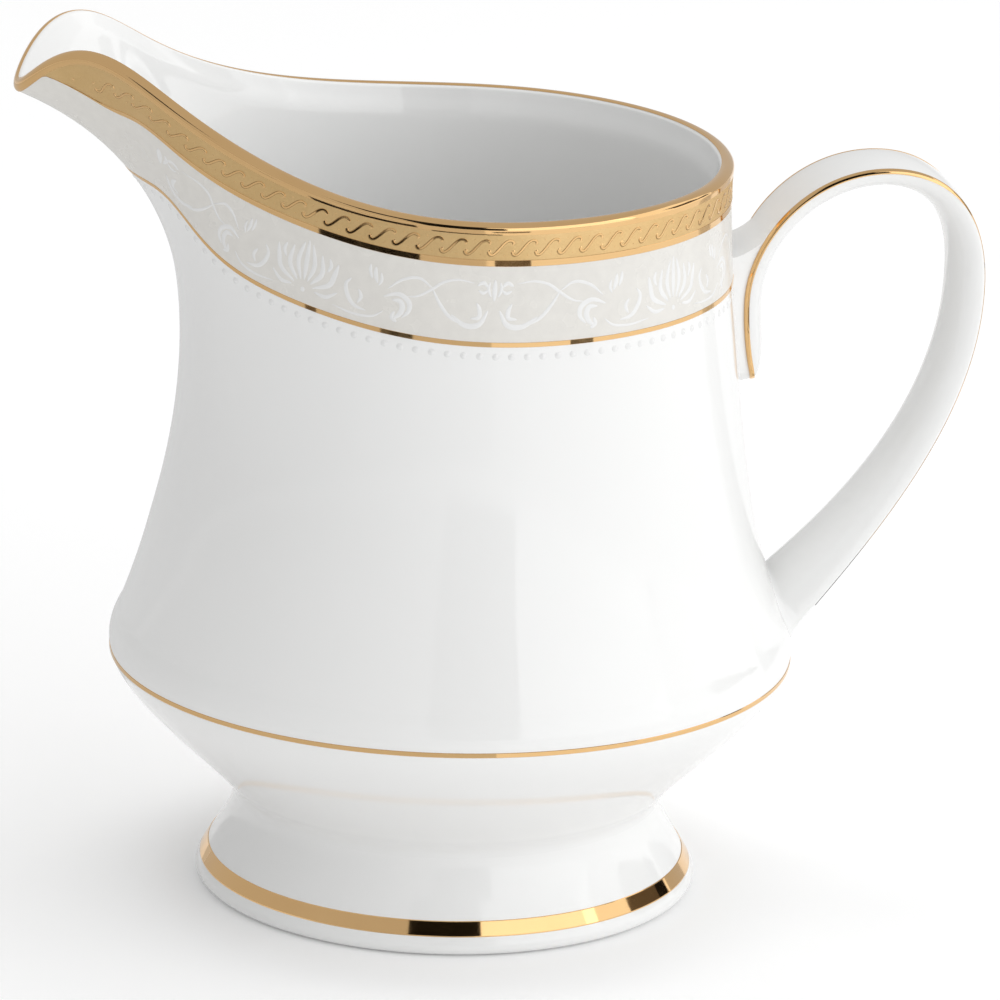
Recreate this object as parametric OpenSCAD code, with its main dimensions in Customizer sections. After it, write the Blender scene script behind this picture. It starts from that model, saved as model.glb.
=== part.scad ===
// Porcelain cream jug: a footed, spouted bowl with a strap handle and fired
// gold, pearl and raised white decoration. +Z is up, the spout points to -X
// and the handle to +X. The origin is the middle of the ring it stands on.

/* [Bowl] */
// Radius of the mouth on the handle side
mouth_r = 33.4; // [30:0.2:36]
// Height of the mouth on the handle side
mouth_z = 94.6; // [92:0.2:98]
// Radius of the belly at its gold line
belly_r = 43; // [40:0.5:45]
// Height of the belly's gold line
belly_z = 30.5; // [29:0.5:32]
// Radius of the bowl where the flare becomes the neck
neck_r = 38.5; // [36:0.5:39]
// Height at which the flare becomes the neck
neck_z = 46; // [44:0.5:48]
// Thickness of the wall
wall_t = 2.4; // [2:0.1:3]
// Thickness of the wall at the lip
lip_t = 1.8; // [1.4:0.1:2.4]

/* [Spout] */
// How far the spout's tip reaches past the round mouth
spout_reach = 22.6; // [18:0.2:25]
// How far the lip climbs towards the spout
spout_rise = 27; // [22:0.5:30]
// How far the tip droops below that climb
spout_droop = 17.6; // [12:0.2:20]
// Lean of the spout's keel at the tip, in degrees from upright
spout_lean = 67; // [55:1:72]
// Lean of the wall at the handle side, in degrees from upright
wall_lean = 4; // [0:0.5:10]

/* [Foot] */
// Radius of the neck between the bowl and the foot
foot_neck_r = 27.1; // [25:0.1:28]
// Height of the foot
foot_h = 11.5; // [10:0.5:13]
// Outer radius of the foot's rim
foot_r = 31.9; // [30:0.1:33]
// Radius of the line that the foot stands on
foot_ring_r = 29.6; // [28:0.1:30.5]

/* [Handle] */
// Width of the strap
strap_w = 10.6; // [9:0.2:12]
// Thickness of the strap at the top of the arch
strap_t = 2.7; // [2.2:0.1:3.4]
// Thickness of the strap down its back
strap_back_t = 3.9; // [3:0.1:4.6]

/* [Decoration] */
// Thickness that every fired layer stands proud of the porcelain
layer_t = 0.1; // [0.06:0.01:0.2]
// Width of the gilded lip, down the outside
lip_gilding_w = 0.8; // [0.6:0.1:1.2]
// Width of the etched gold band
etched_w = 3.2; // [2.8:0.1:4]
// Width of the polished gold line under the etched band
rim_line_w = 0.8; // [0.5:0.1:1]
// Width of the pearl frieze
frieze_w = 9.6; // [8:0.1:10.5]
// Width of the thin gold lines
thin_line_w = 0.6; // [0.4:0.05:0.8]
// Diameter of one raised bead
bead_d = 0.95; // [0.7:0.05:1.2]
// Spacing of the beads
bead_pitch = 1.95; // [1.5:0.05:2.5]

/* [Hidden] */

porcelain = "#F6F6F3";
gold = "#CFA44C";
pearl = "#E6E2D8";

// Columns of the bowl's mesh in one half, closer together towards the spout
half_columns = 36;
column_spread = 1.45;
// Gap left at the faces where the handle is joined on
joint_gap = 0.06;

function curve(a, b, c, d, t) =
    pow(1 - t, 3) * a + 3 * pow(1 - t, 2) * t * b + 3 * (1 - t) * t * t * c + pow(t, 3) * d;
function unit(v) = v / norm(v);
// Falls smoothly from 1 at the spout to 0 away from it
function falloff(a, width, power) = 1 / (1 + pow(abs(a) / width, power));
function bell(a, width) = exp(-pow(a / width, 2));
// Direction at an angle from the spout, seen from above
function heading(a) = [-cos(a), sin(a), 0];
function columns(from, to) =
    [for (i = [-half_columns:half_columns])
        let (a = sign(i) * 180 * pow(abs(i) / half_columns, column_spread))
        if (a > from && a <= to) a];

// ---- Lip: where the wall ends, for each angle from the spout ----
spout_angle = 21;
climb_start = 11.2;
climb_power = 3.1;
droop_angle = 9.8;
function lip_r(a) = mouth_r + spout_reach * falloff(a, spout_angle, 2);
function lip_z(a) =
    let (along = climb_start + lip_r(a) * cos(a), tip = climb_start + mouth_r + spout_reach)
    mouth_z + spout_rise * pow(max(along, 0) / tip, climb_power) - spout_droop * bell(a, droop_angle);

// ---- Upper wall: a curve from the neck to the lip in each column ----
neck_lean = -14;
neck_pull = 7;
// A column that starts at angle u on the neck ends at a smaller angle on the spout
function lip_angle(u) = u * (1 - 0.27 * bell(u, 29));
function lean(u) = wall_lean + (spout_lean - wall_lean) * falloff(u, 19, 2);
lip_pull_handle = 9.7;
lip_pull_spout = 25.3;
function lip_pull(u) = lip_pull_handle + lip_pull_spout * falloff(u, 62, 3.1);
function upper(u, t) =
    let (
        a = lip_angle(u),
        low = neck_r * heading(u) + [0, 0, neck_z],
        high = lip_r(a) * heading(a) + [0, 0, lip_z(a)],
        low_dir = sin(neck_lean) * heading(u) + [0, 0, cos(neck_lean)],
        high_dir = sin(lean(u)) * heading(u * (1 - 0.54 * bell(u, 44))) + [0, 0, cos(lean(u))]
    )
    curve(low, low + neck_pull * low_dir, high - lip_pull(u) * high_dir, high, t);
function upper_normal(u, t) =
    let (t1 = min(t, 0.999))
    unit(cross(upper(u, t1 + 0.001) - upper(u, t1), upper(u + 0.05, t1) - upper(u - 0.05, t1)));

// Table from the distance below the lip, along the wall, to the curve's own parameter
wall_steps = 32;
function wall_table(u) =
    let (p = [for (i = [0:wall_steps]) upper(u, 1 - i / wall_steps)])
    [for (i = 0, run = 0; i <= wall_steps;
        i = i + 1, run = run + (i <= wall_steps ? norm(p[i] - p[i - 1]) : 0))
        [run, 1 - i / wall_steps]];

// ---- Levels of the decoration, as distances below the lip ----
// Away from the spout every layer keeps its width. The etched band runs out
// just before the crest of the spout, and the frieze carries on to the tip.
band_end = 8.8;
gold_w = lip_gilding_w + etched_w + rim_line_w;
// How much wider the gold and the frieze grow along the spout's sides, over these angles
gold_growth = 6.4;
gold_growth_angle = 30;
frieze_growth = 9.8;
frieze_growth_angle = 32;
// How far the frieze draws back towards the lip in front of the spout
frieze_rise = 7;
frieze_rise_angle = 12;
function band_share(u) = 1 - exp(-pow(max(abs(u) - band_end, 0) / 2.5, 1.3));
function lip_level(u) = lip_gilding_w * (1 - 0.55 * bell(u, 14));
function rim_line_level(u) =
    lip_level(u) + 0.04
        + (gold_w + gold_growth * bell(u, gold_growth_angle) - lip_gilding_w) * band_share(u);
function etched_level(u) = rim_line_level(u) - 0.02 - rim_line_w * band_share(u);
function frieze_level(u) =
    gold_w + frieze_w + frieze_growth * bell(u, frieze_growth_angle)
        - frieze_rise * bell(u, frieze_rise_angle);
function thin_line_level(u) = frieze_level(u) + thin_line_w;
frieze_rows = 4;
wall_rows = 6;

// Upper levels, from the neck up to the lip
function upper_levels(u, length) = concat(
    [for (k = [1:wall_rows]) length + (thin_line_level(u) - length) * k / wall_rows],
    [for (k = [0:frieze_rows])
        frieze_level(u) + (rim_line_level(u) - frieze_level(u)) * k / frieze_rows],
    [etched_level(u), lip_level(u), 0.3]);
row_thin_line = wall_rows - 1;
row_frieze = wall_rows;
row_rim_line = wall_rows + frieze_rows;
row_etched = row_rim_line + 1;
row_lip = row_etched + 1;
row_edge = row_lip + 1;

// One column of the upper wall: [outer points, normals]
function upper_column(u) =
    let (
        table = wall_table(u),
        levels = upper_levels(u, table[wall_steps][0]),
        ts = [for (s = levels) lookup(s, table)]
    )
    [[for (t = ts) upper(u, t)], [for (t = ts) upper_normal(u, t)]];

// ---- Lower wall: a turned outline from the foot to the neck ----
line_half = thin_line_w / 2;
shoulder_z = belly_z + 4.5;
shoulder_r = belly_r - 1;
waist_end = [28.6, foot_h + 2.6];
waist = [for (k = [0:2])
    curve([foot_neck_r, foot_h], [foot_neck_r + 0.05, foot_h + 1.1],
        [foot_neck_r + 0.6, foot_h + 1.7], waist_end, k / 3)];
underside = [for (k = [0:6])
    curve(waist_end, waist_end + [2.7, 3.3], [belly_r - 1.8, 25.2], [belly_r, belly_z - line_half], k / 6)];
shoulder = [for (k = [0:3])
    curve([belly_r, belly_z + line_half], [belly_r + 0.3, belly_z + 1.6],
        [belly_r - 0.1, belly_z + 3.1], [shoulder_r, shoulder_z], k / 3)];
flare = [for (k = [1:5])
    curve([shoulder_r, shoulder_z], [shoulder_r - 1, shoulder_z + 2.5],
        [neck_r + 0.97, neck_z - 3.9], [neck_r, neck_z], k / 5)];
lower_outline = concat(waist, underside, shoulder, flare);
row_belly_line = len(waist) + len(underside) - 1;
function turned(p, u) = p[0] * heading(u) + [0, 0, p[1]];
function outline_normal(i) =
    let (
        last = len(lower_outline) - 1,
        run = lower_outline[min(i + 1, last)] - lower_outline[max(i - 1, 0)]
    )
    unit([run[1], -run[0]]);

// ---- Meshes from rows of points ----
// Triangles of a grid of points. wrap joins the last point of each row to the first.
function grid_faces(rows, cols, wrap, start = 0) =
    [for (i = [0:rows - 2], j = [0:cols - (wrap ? 1 : 2)])
        let (a = start + i * cols + j, b = start + i * cols + (j + 1) % cols, c = a + cols, d = b + cols)
        each [[a, d, b], [a, c, d]]];
function flipped(faces) = [for (f = faces) [f[2], f[1], f[0]]];
function flat(rows) = [for (r = rows) each r];

// A layer between two sets of rows, the back rows on the porcelain and the front
// rows proud of it. A closed layer runs all round, an open one has two ends.
module layer(back, front, closed) {
    rows = len(back);
    cols = len(back[0]);
    lift = rows * cols;
    edges = [for (j = [0:cols - (closed ? 1 : 2)])
        let (a = j, b = (j + 1) % cols, c = (rows - 1) * cols + a, d = (rows - 1) * cols + b)
        each [[a, b, b + lift], [a, b + lift, a + lift], [c, d + lift, d], [c, c + lift, d + lift]]];
    ends = closed ? [] : [for (i = [0:rows - 2])
        let (a = i * cols, b = a + cols, c = a + cols - 1, d = b + cols - 1)
        each [[a, a + lift, b + lift], [a, b + lift, b], [c, d + lift, c + lift], [c, d, d + lift]]];
    polyhedron(flat(concat(back, front)),
        concat(grid_faces(rows, cols, closed), flipped(grid_faces(rows, cols, closed, lift)),
            edges, ends), convexity = 8);
}

// Rows k_low to k_high of the upper wall as a fired layer
module wall_layer(us, k_low, k_high, closed) {
    cols = [for (u = us) upper_column(u)];
    back = [for (k = [k_low:k_high]) [for (c = cols) c[0][k]]];
    front = [for (k = [k_low:k_high]) [for (c = cols) c[0][k] + layer_t * c[1][k]]];
    layer(back, front, closed);
}

round_columns = columns(-180, 180);
// The frieze and its line stop at the sides of the handle's upper root
root_angle = 171;
open_columns = concat([-root_angle], columns(-root_angle, root_angle - 0.1), [root_angle]);

// ---- Bowl ----
floor_t = 2.9;
// The lip rolls over from the outer face to the inner one, in four steps
lip_crown = 0.65;
function roll_point(c, k, proud = 0) =
    let (
        p = c[0][row_edge],
        n = c[1][row_edge],
        rise = unit(p - c[0][row_lip])
    )
    p - lip_t * (1 - cos(k * 45)) / 2 * n + lip_crown * sin(k * 45) * rise
        + proud * (cos(k * 45) * n + sin(k * 45) * rise);
module bowl() {
    uppers = [for (u = round_columns) upper_column(u)];
    rows = len(uppers[0][0]);
    cols = len(round_columns);
    lower_out = [for (p = lower_outline) [for (u = round_columns) turned(p, u)]];
    upper_out = [for (k = [0:rows - 1]) [for (c = uppers) c[0][k]]];
    roll = [for (k = [1:3]) [for (c = uppers) roll_point(c, k)]];
    function wall_at(k) = lip_t + (wall_t - lip_t) * min(1, (row_edge - k) / 6);
    upper_in = [for (k = [rows - 1:-1:0])
        [for (c = uppers) c[0][k] - wall_at(k) * c[1][k]]];
    first_in = 5;
    lower_in = [for (i = [len(lower_outline) - 1:-1:first_in])
        [for (u = round_columns) turned(lower_outline[i] - wall_t * outline_normal(i), u)]];
    floor_z = foot_h + floor_t;
    floor_rows = [for (p = [[23.5, floor_z + 0.5], [15, floor_z]])
        [for (u = round_columns) turned(p, u)]];
    stack = concat(lower_out, upper_out, roll, upper_in, lower_in, floor_rows);
    total = len(stack) * cols;
    points = concat(flat(stack), [[0, 0, foot_h], [0, 0, floor_z]]);
    sides = grid_faces(len(stack), cols, true);
    under = [for (j = [0:cols - 1]) [total, j, (j + 1) % cols]];
    inside = [for (j = [0:cols - 1]) [total + 1, total - cols + (j + 1) % cols, total - cols + j]];
    color(porcelain) polyhedron(points, flipped(concat(sides, under, inside)), convexity = 10);
}

// ---- Foot ----
band_low = [31.16, 2.6];
band_high = [30.08, 4.35];
module foot() {
    flare_out = [for (k = [0:8])
        curve(band_high, [28.4, 7], [foot_neck_r, 9], [foot_neck_r, foot_h], k / 8)];
    rim = [for (k = [0:6])
        curve([foot_ring_r, 0], [foot_r - 0.3, 0], [foot_r + 0.3, 1.2], band_low, k / 6)];
    hollow = [for (k = [0:8])
        curve([foot_neck_r - 3.4, foot_h], [foot_neck_r - 3.4, 8],
            [25.4, 3], [foot_ring_r - 1.8, 0], k / 8)];
    color(porcelain) rotate_extrude($fn = 96) polygon(concat(rim, flare_out, hollow));
}

// ---- Handle ----
// The strap's outer face follows four curves in the plane Y = 0
strap_path = [
    [[36.9, 65.5], [35.8, 69], [35.4, 72.5], [35.4, 76]],
    [[35.4, 76], [35.4, 84.5], [43, 93.2], [53, 93.2]],
    [[53, 93.2], [61.5, 93.2], [66, 87], [66, 78]],
    [[66, 78], [66, 61], [54, 46], [43.4, 34]]
];
strap_rings = [6, 10, 10, 20];
strap_columns = 4;
corner = 0.45;
function path_point(n, t) =
    let (c = strap_path[n], p = curve(c[0], c[1], c[2], c[3], t)) [p[0], 0, p[1]];
function path_dir(n, t) =
    unit(path_point(n, min(t + 0.002, 1)) - path_point(n, max(t - 0.002, 0)));
// Direction from the outer face into the strap, towards the finger gap
function path_in(n, t) = let (d = path_dir(n, t)) [d[2], 0, -d[0]];

// Radius of the bowl's outer face on the handle side
function wall_r(z) =
    z < neck_z
        ? lookup(z, [for (p = lower_outline) [p[1], p[0]]])
        : lookup(z, [for (t = [0:0.04:1]) let (p = upper(180, t)) [p[2], p[0]]]);
// Moves a point along a direction until it meets the bowl
function meet(p, dir, near = -6, far = 14, n = 22) =
    let (mid = (near + far) / 2, q = p + mid * dir, clear = norm([q[0], q[1]]) - wall_r(q[2]) - joint_gap)
    n == 0 ? q : clear > 0 ? meet(p, dir, mid, far, n - 1) : meet(p, dir, near, mid, n - 1);

// How far the strap is along its whole path, from 0 to 4
function strap_half(s) =
    strap_w / 2 + 1.4 * pow(max(s - 3.4, 0) / 0.6, 2) - 0.9 * pow(max(0.7 - s, 0) / 0.7, 2);
function strap_depth(s) =
    s < 2 ? strap_t - 1.7 * pow(max(0.6 - s, 0) / 0.6, 2)
    : strap_t + (strap_back_t - strap_t) * min(s - 2, 1) + 2.6 * pow(max(s - 3.3, 0) / 0.7, 2);
// The upper root: rings below this are joined to the bowl along their outer side
root_end = 1.3;

// One ring of the strap, as a loop of points
function strap_ring(n, t) =
    let (
        s = n + t,
        p = path_point(n, t),
        in = path_in(n, t),
        half = strap_half(s),
        depth = strap_depth(s),
        edge = min(0.42 * depth, 1.2),
        across = [for (k = [-strap_columns:strap_columns]) k / strap_columns],
        rooted = s < root_end,
        inner = [for (a = across)
            p + half * a * [0, 1, 0]
                + (edge + (depth - edge) * sqrt(max(0, 1 - pow(abs(a), 2.4)))) * in],
        face = [for (a = across)
            rooted
                ? meet(p + (half + 0.5) * a * [0, 1, 0], [-1, 0, 0], -3, 12)
                : p + (half - 2 * corner) * a * [0, 1, 0] - 0.25 * (1 - a * a) * in]
    )
    concat(inner,
        [p + half * [0, 1, 0] + corner * in, p + (half - corner) * [0, 1, 0]],
        [for (k = [2 * strap_columns:-1:0]) face[k]],
        [p - (half - corner) * [0, 1, 0], p - half * [0, 1, 0] + corner * in]);

ring_places = [for (n = [0:3], i = [0:strap_rings[n] - (n == 3 ? 3 : 1)]) [n, i / strap_rings[n]]];
// The last ring is pushed along the path until it lies on the bowl
last_ring = let (place = ring_places[len(ring_places) - 1], dir = path_dir(3, 0.95))
    [for (q = strap_ring(place[0], place[1])) meet(q, dir, 0, 20)];

module handle() {
    rings = concat([for (r = ring_places) strap_ring(r[0], r[1])], [last_ring]);
    cols = len(rings[0]);
    wide = 2 * strap_columns;
    // Each end is closed by pairing the inner side with the outer side
    cap = concat(
        [for (k = [0:wide - 1])
            let (a = k, b = k + 1, c = cols - 3 - k, d = cols - 4 - k) each [[a, b, d], [a, d, c]]],
        [[0, cols - 3, cols - 2], [0, cols - 2, cols - 1],
        [wide, wide + 1, wide + 2], [wide, wide + 2, wide + 3]]);
    top = (len(rings) - 1) * cols;
    color(porcelain) polyhedron(flat(rings),
        concat(grid_faces(len(rings), cols, true),
            [for (f = cap) [f[0], f[1], f[2]]],
            [for (f = cap) [top + f[2], top + f[1], top + f[0]]]), convexity = 10);
}

// A gold line along the strap's corner on one side
module edge_line(side) {
    rings = [for (r = ring_places) strap_ring(r[0], r[1])];
    cols = len(rings[0]);
    outer = side > 0 ? 2 * strap_columns + 2 : cols - 2;
    inner = side > 0 ? 2 * strap_columns + 1 : cols - 1;
    back = [[for (r = rings) r[outer]], [for (r = rings) r[inner]]];
    front = [for (row = back)
        [for (i = [0:len(ring_places) - 1])
            let (place = ring_places[i])
            row[i] + layer_t * unit([0, side, 0] - path_in(place[0], place[1]))]];
    if (side > 0)
        layer([back[1], back[0]], [front[1], front[0]], false);
    else
        layer(back, front, false);
}

// ---- Fired decoration ----
module lip_gilding() {
    uppers = [for (u = round_columns) upper_column(u)];
    back = concat([[for (c = uppers) c[0][row_lip]], [for (c = uppers) c[0][row_edge]]],
        [for (k = [1:3]) [for (c = uppers) roll_point(c, k)]]);
    front = concat([[for (c = uppers) c[0][row_lip] + layer_t * c[1][row_lip]],
        [for (c = uppers) c[0][row_edge] + layer_t * c[1][row_edge]]],
        [for (k = [1:3]) [for (c = uppers) roll_point(c, k, layer_t)]]);
    color(gold) layer(back, front, true);
}

module etched_gold_band() {
    color(gold) wall_layer(round_columns, row_etched, row_lip, true);
}

module rim_gold_line() {
    color(gold) wall_layer(round_columns, row_rim_line, row_etched, true);
}

module pearl_frieze() {
    color(pearl) wall_layer(open_columns, row_frieze, row_rim_line, false);
}

module frieze_gold_line() {
    color(gold) wall_layer(open_columns, row_thin_line, row_frieze, false);
}

module belly_gold_line() {
    back = [for (i = [0, 1])
        [for (u = round_columns) turned(lower_outline[row_belly_line + i], u)]];
    front = [for (i = [0, 1])
        [for (u = round_columns) turned(lower_outline[row_belly_line + i] + [layer_t, 0], u)]];
    color(gold) layer(back, front, true);
}

module foot_gold_band() {
    out = layer_t * unit([band_high[1] - band_low[1], band_low[0] - band_high[0]]);
    color(gold) rotate_extrude($fn = 96)
        polygon([band_low, band_low + out, band_high + out, band_high]);
}

bead_level = 1.2;
bead_sides = 8;
// One bead as a low dome: a ring on the porcelain, a ring on its shoulder and a crown
function bead_points(p, n, across) =
    let (up = cross(n, across))
    concat([for (tier = [[0.5, 0], [0.36, 0.16]], k = [0:bead_sides - 1])
        let (a = k * 360 / bead_sides)
        p + bead_d * (tier[0] * (cos(a) * across + sin(a) * up) + tier[1] * n)],
        [p, p + bead_d * 0.24 * n]);
function bead_faces(start) =
    [for (k = [0:bead_sides - 1])
        let (a = start + k, b = start + (k + 1) % bead_sides, c = a + bead_sides, d = b + bead_sides,
            foot = start + 2 * bead_sides, crown = foot + 1)
        each [[a, b, foot], [a, c, b], [b, c, d], [c, crown, d]]];
module bead_row() {
    // Angles that put the beads at an even spacing along the line
    probe = [for (u = [-167:1:167])
        [u, upper(u, lookup(thin_line_level(u) + bead_level, wall_table(u)))]];
    reach = [for (i = 0, run = 0; i < len(probe);
        i = i + 1, run = run + (i < len(probe) ? norm(probe[i][1] - probe[i - 1][1]) : 0))
        [run, probe[i][0]]];
    whole = reach[len(reach) - 1][0];
    count = floor(whole / bead_pitch);
    beads = [for (i = [0:count])
        let (
            u = lookup(i * whole / count, reach),
            t = lookup(thin_line_level(u) + bead_level, wall_table(u)),
            n = upper_normal(u, t)
        )
        bead_points(upper(u, t) + 0.02 * n, n, unit(cross(n, [0, 0, 1])))];
    color(porcelain)
        polyhedron(flat(beads), flat([for (i = [0:count]) bead_faces(i * len(beads[0]))]), convexity = 6);
}

module handle_gold_lines() {
    color(gold) {
        edge_line(1);
        edge_line(-1);
    }
}

bowl();
foot();
handle();
lip_gilding();
etched_gold_band();
rim_gold_line();
pearl_frieze();
frieze_gold_line();
bead_row();
belly_gold_line();
foot_gold_band();
handle_gold_lines();
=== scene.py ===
import math

import bmesh
import bpy
import numpy as np
from mathutils import Matrix, Vector


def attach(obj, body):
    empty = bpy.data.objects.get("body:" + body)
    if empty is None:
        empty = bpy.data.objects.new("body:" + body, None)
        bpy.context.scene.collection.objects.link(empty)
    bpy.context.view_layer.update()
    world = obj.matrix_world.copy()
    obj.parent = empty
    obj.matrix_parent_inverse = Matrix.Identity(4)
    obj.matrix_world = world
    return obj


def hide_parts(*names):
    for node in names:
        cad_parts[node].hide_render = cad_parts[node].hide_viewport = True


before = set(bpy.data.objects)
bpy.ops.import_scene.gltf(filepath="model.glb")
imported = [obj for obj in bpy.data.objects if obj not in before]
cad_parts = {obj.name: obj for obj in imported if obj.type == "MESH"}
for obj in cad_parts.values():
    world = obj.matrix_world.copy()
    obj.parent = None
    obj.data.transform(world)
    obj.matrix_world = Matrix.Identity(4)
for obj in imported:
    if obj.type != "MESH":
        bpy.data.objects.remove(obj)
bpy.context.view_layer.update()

# The jug's lengths are millimetres and its angles are degrees, as in the CAD source,
# and mesh_piece() turns the lengths into metres. The materials are in metres, and so
# is the stage, apart from the camera's place and the floor cards.
MM = 0.001


def cos(a):
    return np.cos(np.radians(a))


def sin(a):
    return np.sin(np.radians(a))


def unit(v):
    return v / np.maximum(np.linalg.norm(v, axis=-1, keepdims=True), 1e-12)


def curve(a, b, c, d, t):
    """Point of a cubic curve. t may be an array, whose shape the result takes."""
    a, b, c, d = (np.asarray(p, float) for p in (a, b, c, d))
    t = np.asarray(t, float)[..., None]
    return (1 - t) ** 3 * a + 3 * (1 - t) ** 2 * t * b + 3 * (1 - t) * t * t * c + t ** 3 * d


def falloff(a, width, power):
    return 1 / (1 + (np.abs(a) / width) ** power)


def bell(a, width):
    return np.exp(-((a / width) ** 2))


def smooth_step(x):
    """Eases from 0 to 1 as x runs from 0 to 1."""
    return x * x * (3 - 2 * x)


def stretch(start, end, count, power=1):
    """Places from start up to end, without end itself. A power over 1 crowds the start."""
    return start + (end - start) * np.linspace(0, 1, count + 1)[:-1] ** power


# ---- Driving sizes, as in the CAD source ----
MOUTH_R, MOUTH_Z = 33.4, 94.6
BELLY_R, BELLY_Z = 43.0, 30.5
NECK_R, NECK_Z = 38.5, 46.0
WALL_T, LIP_T, FLOOR_T = 2.4, 1.8, 2.9
SPOUT_REACH, SPOUT_RISE, SPOUT_DROOP = 22.6, 27.0, 17.6
SPOUT_LEAN, WALL_LEAN, NECK_LEAN, NECK_PULL = 67.0, 4.0, -14.0, 7.0
FOOT_NECK_R, FOOT_H, FOOT_R, FOOT_RING_R = 27.1, 11.5, 31.9, 29.6
STRAP_W, STRAP_T, STRAP_BACK_T = 10.6, 2.7, 3.9
LIP_GILDING_W, ETCHED_W, RIM_LINE_W = 0.8, 3.2, 0.8
FRIEZE_W, THIN_LINE_W = 9.6, 0.6
GOLD_W = LIP_GILDING_W + ETCHED_W + RIM_LINE_W
BEAD_PITCH, BEAD_LEVEL = 1.95, 1.2
LIP_CROWN = 0.65
# The frieze stops at this angle, beside the handle's upper root
ROOT_ANGLE = 171.0
# The wall's outer face ends this far below the lip, where the lip starts to roll over
EDGE_LEVEL = 0.3

# ---- Sizes that only this script has ----
BEAD_D, BEAD_RISE = 1.0, 0.13
# How far each kind of layer stands proud, and how far its back lies inside the porcelain
GOLD_T, LINE_T, GROUND_T = 0.07, 0.06, 0.03
LAYER_SINK = 0.05


# ---- Lip: where the wall ends, for each angle from the spout ----
SPOUT_ANGLE, DROOP_ANGLE = 21, 9.8
CLIMB_START, CLIMB_POWER = 11.2, 3.1
UP = np.array([0.0, 0.0, 1.0])


def heading(a):
    """Direction at an angle from the spout, seen from above."""
    a = np.asarray(a, float)
    return np.stack([-cos(a), sin(a), np.zeros_like(a)], -1)


def lip_r(a):
    return MOUTH_R + SPOUT_REACH * falloff(a, SPOUT_ANGLE, 2)


def lip_z(a):
    tip = CLIMB_START + MOUTH_R + SPOUT_REACH
    along = np.maximum(CLIMB_START + lip_r(a) * cos(a), 0) / tip
    return MOUTH_Z + SPOUT_RISE * along ** CLIMB_POWER - SPOUT_DROOP * bell(a, DROOP_ANGLE)


# ---- Upper wall: a curve from the neck to the lip in each column ----
# How far the columns' upper ends and their lean gather at the spout, and over what angles
LIP_GATHER, LIP_GATHER_ANGLE = 0.27, 29
LEAN_GATHER, LEAN_GATHER_ANGLE = 0.54, 44
# The angle over which the keel's lean dies away
LEAN_ANGLE = 19
# How far the curve is pulled straight below the lip on the handle side, and how much
# further at the spout
LIP_PULL_HANDLE, LIP_PULL_SPOUT = 9.7, 25.3
LIP_PULL_ANGLE, LIP_PULL_POWER = 62, 3.1


def upper(u, t):
    """Point of the outer wall in column u, t running from the neck (0) to the lip (1)."""
    u, t = np.broadcast_arrays(np.asarray(u, float), np.asarray(t, float))
    # A column that starts at angle u on the neck ends at a smaller angle on the spout
    a = u * (1 - LIP_GATHER * bell(u, LIP_GATHER_ANGLE))
    lean = WALL_LEAN + (SPOUT_LEAN - WALL_LEAN) * falloff(u, LEAN_ANGLE, 2)
    pull = LIP_PULL_HANDLE + LIP_PULL_SPOUT * falloff(u, LIP_PULL_ANGLE, LIP_PULL_POWER)
    low = NECK_R * heading(u) + NECK_Z * UP
    high = lip_r(a)[..., None] * heading(a) + lip_z(a)[..., None] * UP
    low_dir = sin(NECK_LEAN) * heading(u) + cos(NECK_LEAN) * UP
    lean_heading = heading(u * (1 - LEAN_GATHER * bell(u, LEAN_GATHER_ANGLE)))
    high_dir = sin(lean)[..., None] * lean_heading + cos(lean)[..., None] * UP
    return curve(low, low + NECK_PULL * low_dir, high - pull[..., None] * high_dir, high, t)


# A table for finding the curve's parameter at a distance below the lip. It has a row
# for each angle, and in each row a place for each even share of that column's length.
TABLE_STEP = 0.25
TABLE_U = np.linspace(-180, 180, 1441)
TABLE_SHARES = np.linspace(0, 1, 161)


def wall_table():
    """(length of each column, the curve's parameter at even shares of that length)"""
    t = np.linspace(1, 0, len(TABLE_SHARES))
    points = upper(TABLE_U[:, None], t[None, :])
    run = np.cumsum(np.linalg.norm(np.diff(points, axis=1), axis=2), axis=1)
    run = np.concatenate([np.zeros((len(TABLE_U), 1)), run], 1)
    lengths = run[:, -1]
    params = [np.interp(TABLE_SHARES * whole, s, t) for s, whole in zip(run, lengths)]
    return lengths, np.array(params)


TABLE_LENGTH, TABLE_PARAM = wall_table()


def wall_length(u):
    return np.interp(u, TABLE_U, TABLE_LENGTH)


def curve_parameter(u, s):
    """The curve's parameter in column u, s millimetres below the lip, from the table."""
    column = (u + 180) / TABLE_STEP
    share = np.clip(s / wall_length(u), 0, 1) * (len(TABLE_SHARES) - 1)
    i = np.clip(column.astype(int), 0, len(TABLE_U) - 2)
    j = np.clip(share.astype(int), 0, len(TABLE_SHARES) - 2)
    fi, fj = column - i, share - j
    here = TABLE_PARAM[i, j] * (1 - fj) + TABLE_PARAM[i, j + 1] * fj
    beside = TABLE_PARAM[i + 1, j] * (1 - fj) + TABLE_PARAM[i + 1, j + 1] * fj
    return here * (1 - fi) + beside * fi


def wall(u, s):
    """(point, outward normal) of the outer wall, s millimetres below the lip."""
    u, s = np.broadcast_arrays(np.asarray(u, float), np.asarray(s, float))
    t = curve_parameter(u, s)
    # The normal comes from short steps along the curve and across it
    dt, du = 0.001, 0.05
    tt = np.clip(t, dt, 1 - dt)
    uu = np.clip(u, du - 180, 180 - du)
    n = np.cross(upper(uu, tt + dt) - upper(uu, tt - dt), upper(uu + du, tt) - upper(uu - du, tt))
    return upper(u, t), unit(n)


# ---- Levels of the decoration, as distances below the lip ----
# The etched band and its line run out just before the crest of the spout
BAND_END, BAND_FADE, BAND_FADE_POWER = 8.8, 2.5, 1.3
# Where they have run out, each still keeps this width
LEAST_W = 0.02
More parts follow.
